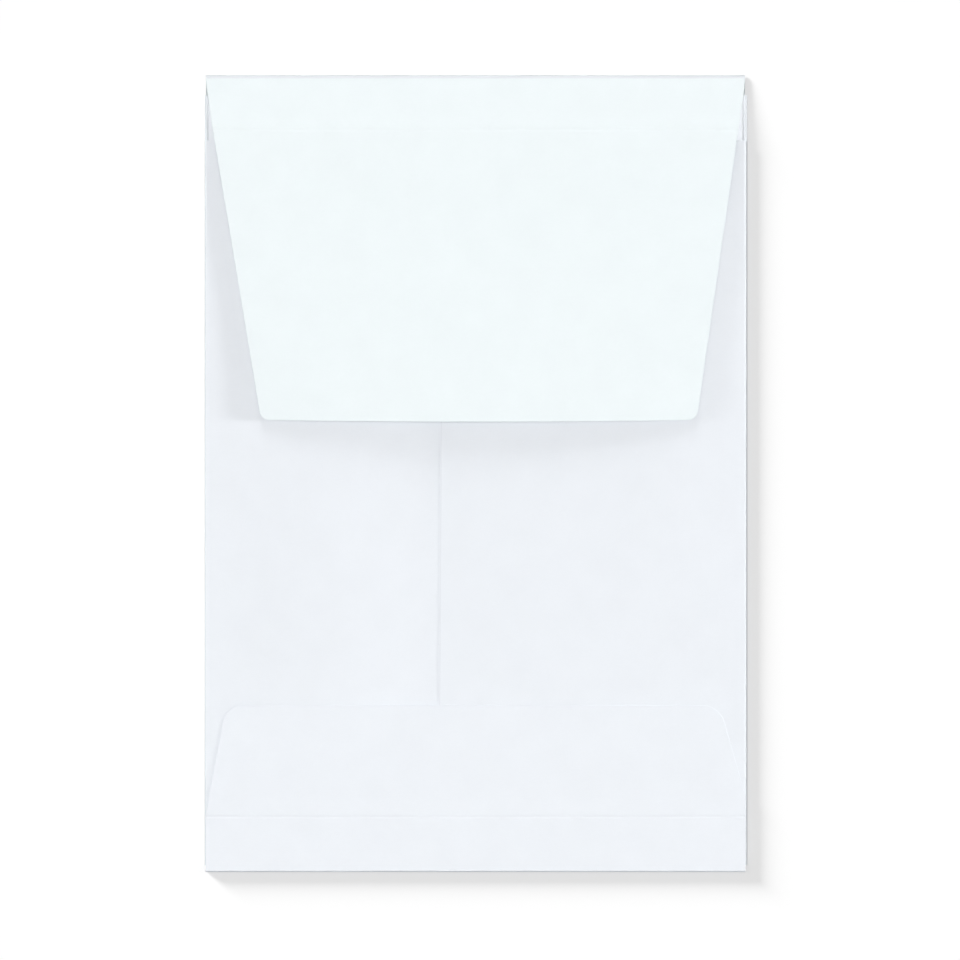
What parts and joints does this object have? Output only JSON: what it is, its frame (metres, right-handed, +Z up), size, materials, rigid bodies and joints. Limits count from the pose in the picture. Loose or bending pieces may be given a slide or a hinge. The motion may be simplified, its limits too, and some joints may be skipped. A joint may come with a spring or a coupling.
{
  "type": "gusset envelope",
  "caption": "White paper pocket envelope with folded side gussets, a deep tapered top flap, a centre seam and a glued bottom flap; flap and gussets fold open",
  "frame": {"origin": "centre of the closed envelope's footprint, on the surface it lies on: z = 0 is the outer face of the front panel", "axes": "+Y runs along the envelope to its top fold, +X across it to the right when the back is seen with the flap at the top, +Z up through the layers to the flap"},
  "size_m": [0.1194, 0.176, 0.0035],
  "materials": {
    "paper_outer": "smooth white wove paper, matt",
    "paper_back": "smooth white wove paper, matt",
    "paper_inner": "inner face of the same paper, matt",
    "glue": "dried paper adhesive",
    "gum": "dry remoistening gum, slightly glossy"
  },
  "bodies": {
    "front": {"front_panel": "paper_outer"},
    "front_foot": {"front_foot": "paper_outer", "left_outer_tuck_front": "paper_inner", "right_outer_tuck_front": "paper_inner"},
    "left_gusset_front": {"left_gusset_front": "paper_inner"},
    "left_gusset_back": {"left_gusset_back": "paper_inner"},
    "right_gusset_front": {"right_gusset_front": "paper_inner"},
    "right_gusset_back": {"right_gusset_back": "paper_inner"},
    "back": {"back_left_panel": "paper_back", "back_right_panel": "paper_back", "seam_glue": "glue", "bottom_flap": "paper_back", "bottom_flap_glue": "glue"},
    "back_foot": {"back_left_foot": "paper_back", "back_right_foot": "paper_back", "seam_glue_foot": "glue", "bottom_flap_strip": "paper_back", "bottom_strip_glue": "glue", "left_outer_tuck_back": "paper_inner", "right_outer_tuck_back": "paper_inner"},
    "left_tuck_front": {"left_inner_tuck_front": "paper_inner"},
    "right_tuck_front": {"right_inner_tuck_front": "paper_inner"},
    "left_tuck_back": {"left_inner_tuck_back": "paper_inner"},
    "right_tuck_back": {"right_inner_tuck_back": "paper_inner"},
    "flap_strip": {"flap_strip": "paper_outer"},
    "flap": {"flap": "paper_outer", "flap_gum": "gum"}
  },
  "joints": [
    {"name": "flap_fold", "type": "hinge", "parent": "front", "child": "flap_strip", "pos_m": [0, 0.08797, 0.00035], "axis": [-1, 0, 0], "range_deg": [0, 172.5]},
    {"name": "flap_score", "type": "hinge", "parent": "flap_strip", "child": "flap", "pos_m": [0, 0.07648, 0.002], "axis": [1, 0, 0], "range_deg": [0, 28.75]},
    {"name": "left_front_fold", "type": "hinge", "parent": "front", "child": "left_gusset_front", "pos_m": [-0.05965, 0, 0.00035], "axis": [0, -1, 0], "range_deg": [0, 86.25]},
    {"name": "left_gusset_valley", "type": "hinge", "parent": "left_gusset_front", "child": "left_gusset_back", "pos_m": [-0.04765, 0, 0.00085], "axis": [0, 1, 0], "range_deg": [0, 172.5]},
    {"name": "left_back_fold", "type": "hinge", "parent": "left_gusset_back", "child": "back", "pos_m": [-0.05965, 0, 0.00135], "axis": [0, -1, 0], "range_deg": [0, 86.25]},
    {"name": "right_front_fold", "type": "hinge", "parent": "front", "child": "right_gusset_front", "pos_m": [0.05965, 0, 0.00035], "axis": [0, 1, 0], "range_deg": [0, 86.25]},
    {"name": "right_gusset_valley", "type": "hinge", "parent": "right_gusset_front", "child": "right_gusset_back", "pos_m": [0.04765, 0, 0.00085], "axis": [0, -1, 0], "range_deg": [0, 172.5]},
    {"name": "bottom_front_crease", "type": "hinge", "parent": "front", "child": "front_foot", "pos_m": [0, -0.07598, 0.0002], "axis": [-1, 0, 0], "range_deg": [0, 86.25]},
    {"name": "bottom_back_crease", "type": "hinge", "parent": "back", "child": "back_foot", "pos_m": [0, -0.07598, 0.0015], "axis": [1, 0, 0], "range_deg": [0, 86.25]},
    {"name": "left_front_diagonal", "type": "hinge", "parent": "front_foot", "child": "left_tuck_front", "pos_m": [-0.05965, -0.07598, 0.00085], "axis": [0.7071, -0.7071, 0], "range_deg": [0, 172.5]},
    {"name": "left_back_diagonal", "type": "hinge", "parent": "back_foot", "child": "left_tuck_back", "pos_m": [-0.05965, -0.07598, 0.00085], "axis": [-0.7071, 0.7071, 0], "range_deg": [0, 172.5]},
    {"name": "right_front_diagonal", "type": "hinge", "parent": "front_foot", "child": "right_tuck_front", "pos_m": [0.05965, -0.07598, 0.00085], "axis": [0.7071, 0.7071, 0], "range_deg": [0, 172.5]},
    {"name": "right_back_diagonal", "type": "hinge", "parent": "back_foot", "child": "right_tuck_back", "pos_m": [0.05965, -0.07598, 0.00085], "axis": [-0.7071, -0.7071, 0], "range_deg": [0, 172.5]}
  ],
  "couplings": [
    {"joint": "flap_score", "follows": "flap_fold", "ratio": 0.1666},
    {"joint": "left_front_fold", "follows": "flap_fold", "ratio": 0.5},
    {"joint": "left_gusset_valley", "follows": "flap_fold", "ratio": 1},
    {"joint": "left_back_fold", "follows": "flap_fold", "ratio": 0.5},
    {"joint": "right_front_fold", "follows": "flap_fold", "ratio": 0.5},
    {"joint": "right_gusset_valley", "follows": "flap_fold", "ratio": 1},
    {"joint": "bottom_front_crease", "follows": "flap_fold", "ratio": 0.5},
    {"joint": "bottom_back_crease", "follows": "flap_fold", "ratio": 0.5},
    {"joint": "left_front_diagonal", "follows": "flap_fold", "ratio": 1},
    {"joint": "left_back_diagonal", "follows": "flap_fold", "ratio": 1},
    {"joint": "right_front_diagonal", "follows": "flap_fold", "ratio": 1},
    {"joint": "right_back_diagonal", "follows": "flap_fold", "ratio": 1}
  ]
}
